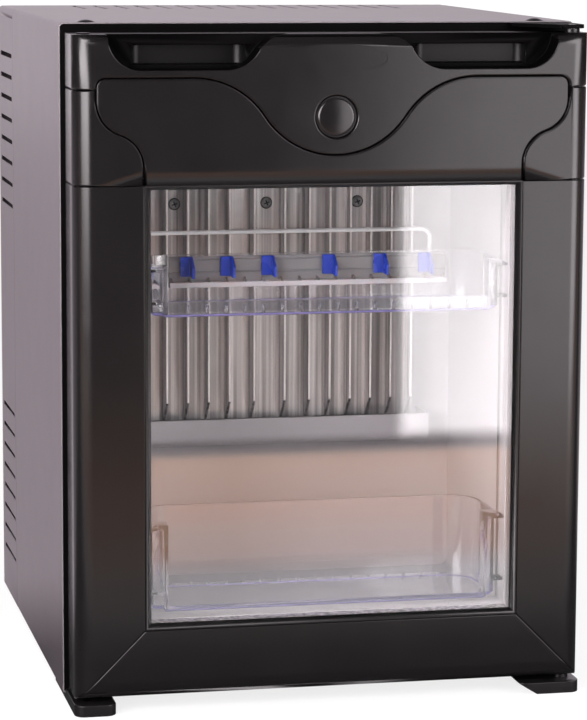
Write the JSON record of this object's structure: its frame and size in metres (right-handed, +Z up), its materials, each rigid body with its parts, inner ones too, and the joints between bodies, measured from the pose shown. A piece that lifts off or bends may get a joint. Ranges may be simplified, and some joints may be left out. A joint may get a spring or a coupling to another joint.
{
  "type": "hotel minibar fridge",
  "caption": "Free-standing hotel minibar fridge with a framed glass door, finger grips in the door top, clear door bins, a finned evaporator and an absorption unit behind slotted panels.",
  "frame": {"origin": "on the floor, under the middle of the whole fridge, door included", "axes": "+X to the right of a person who faces the door, +Y to the rear, +Z up"},
  "size_m": [0.402, 0.449, 0.523],
  "materials": {
    "shell_paint": "satin powder coat",
    "door_plastic": "fine satin moulding",
    "trim_plastic": "matt black",
    "liner_plastic": "light grey, smooth",
    "clear_plastic": "clear moulded polystyrene",
    "window_glass": "clear float glass",
    "milky_plastic": "milky translucent strip",
    "clip_plastic": "vivid blue",
    "aluminium": "matt extruded",
    "white_wire": "white plastic coat",
    "zinc_steel": "zinc plated",
    "seal_rubber": "matt black",
    "unit_paint": "black paint",
    "foam": "rigid foam",
    "lens_plastic": "translucent white"
  },
  "bodies": {
    "cabinet": {"wrapper": "shell_paint", "vent_panel_left": "shell_paint", "vent_panel_right": "shell_paint", "vent_panel_top": "shell_paint", "front_frame": "trim_plastic", "screw_plugs": "trim_plastic", "hinge_bracket_bottom": "trim_plastic", "foot_front_left": "trim_plastic", "rear_feet": "trim_plastic", "terminal_box": "trim_plastic", "mains_gland": "trim_plastic", "liner": "liner_plastic", "drip_tray": "liner_plastic", "drain_tube": "liner_plastic", "control_box": "liner_plastic", "evaporator": "aluminium", "cold_block": "aluminium", "evaporator_guard": "white_wire", "base_pan": "zinc_steel", "back_plate": "zinc_steel", "evaporator_screws": "zinc_steel", "hinge_screws": "zinc_steel", "hinge_pins": "zinc_steel", "unit_straps": "zinc_steel", "boiler_jacket": "unit_paint", "rectifier_pipe": "unit_paint", "condenser": "unit_paint", "absorber_coil": "unit_paint", "absorber_vessel": "unit_paint", "exchanger_pipe": "unit_paint", "hinge_plate_top": "unit_paint", "insulation": "foam", "lamp_lens": "lens_plastic"},
    "door": {"door_handle_cap": "door_plastic", "door_fascia": "door_plastic", "door_corner_left": "door_plastic", "door_corner_right": "door_plastic", "door_stile_left": "door_plastic", "door_stile_right": "door_plastic", "door_bottom_rail": "door_plastic", "lock_cap": "door_plastic", "door_inner_frame": "liner_plastic", "glass_outer": "window_glass", "glass_inner": "window_glass", "glass_spacer": "aluminium", "glazing_bead": "trim_plastic", "door_gasket": "seal_rubber", "door_screws": "zinc_steel", "hinge_bushes": "trim_plastic", "hinge_hole_plug": "trim_plastic"},
    "lower_bin": {"bin_lower": "clear_plastic"},
    "upper_bin": {"bin_upper": "clear_plastic", "clip_rail": "milky_plastic"},
    "knob": {"thermostat_knob": "liner_plastic"},
    "clip_1": {"bottle_clip_1": "clip_plastic"},
    "clip_2": {"bottle_clip_2": "clip_plastic"},
    "clip_3": {"bottle_clip_3": "clip_plastic"},
    "clip_4": {"bottle_clip_4": "clip_plastic"},
    "clip_5": {"bottle_clip_5": "clip_plastic"},
    "clip_6": {"bottle_clip_6": "clip_plastic"}
  },
  "joints": [
    {"name": "door_swing", "type": "hinge", "parent": "cabinet", "child": "door", "pos_m": [0.188, -0.2045, 0.265], "axis": [0, 0, 1], "range_deg": [0, 110]},
    {"name": "lower_bin_lift", "type": "slide", "parent": "door", "child": "lower_bin", "axis": [0, 0, 1], "range_m": [0, 0.066]},
    {"name": "upper_bin_lift", "type": "slide", "parent": "door", "child": "upper_bin", "axis": [0, 0, 1], "range_m": [0, 0.037]},
    {"name": "thermostat_turn", "type": "hinge", "parent": "cabinet", "child": "knob", "pos_m": [0.038, -0.0559, 0.472], "axis": [0, -1, 0], "range_deg": [-135, 135]},
    {"name": "clip_1_slide", "type": "slide", "parent": "upper_bin", "child": "clip_1", "axis": [1, 0, 0], "range_m": [-0.009, 0.009]},
    {"name": "clip_2_slide", "type": "slide", "parent": "upper_bin", "child": "clip_2", "axis": [1, 0, 0], "range_m": [-0.009, 0.009]},
    {"name": "clip_3_slide", "type": "slide", "parent": "upper_bin", "child": "clip_3", "axis": [1, 0, 0], "range_m": [-0.009, 0.009]},
    {"name": "clip_4_slide", "type": "slide", "parent": "upper_bin", "child": "clip_4", "axis": [1, 0, 0], "range_m": [-0.009, 0.009]},
    {"name": "clip_5_slide", "type": "slide", "parent": "upper_bin", "child": "clip_5", "axis": [1, 0, 0], "range_m": [-0.009, 0.009]},
    {"name": "clip_6_slide", "type": "slide", "parent": "upper_bin", "child": "clip_6", "axis": [1, 0, 0], "range_m": [-0.009, 0.009]}
  ]
}
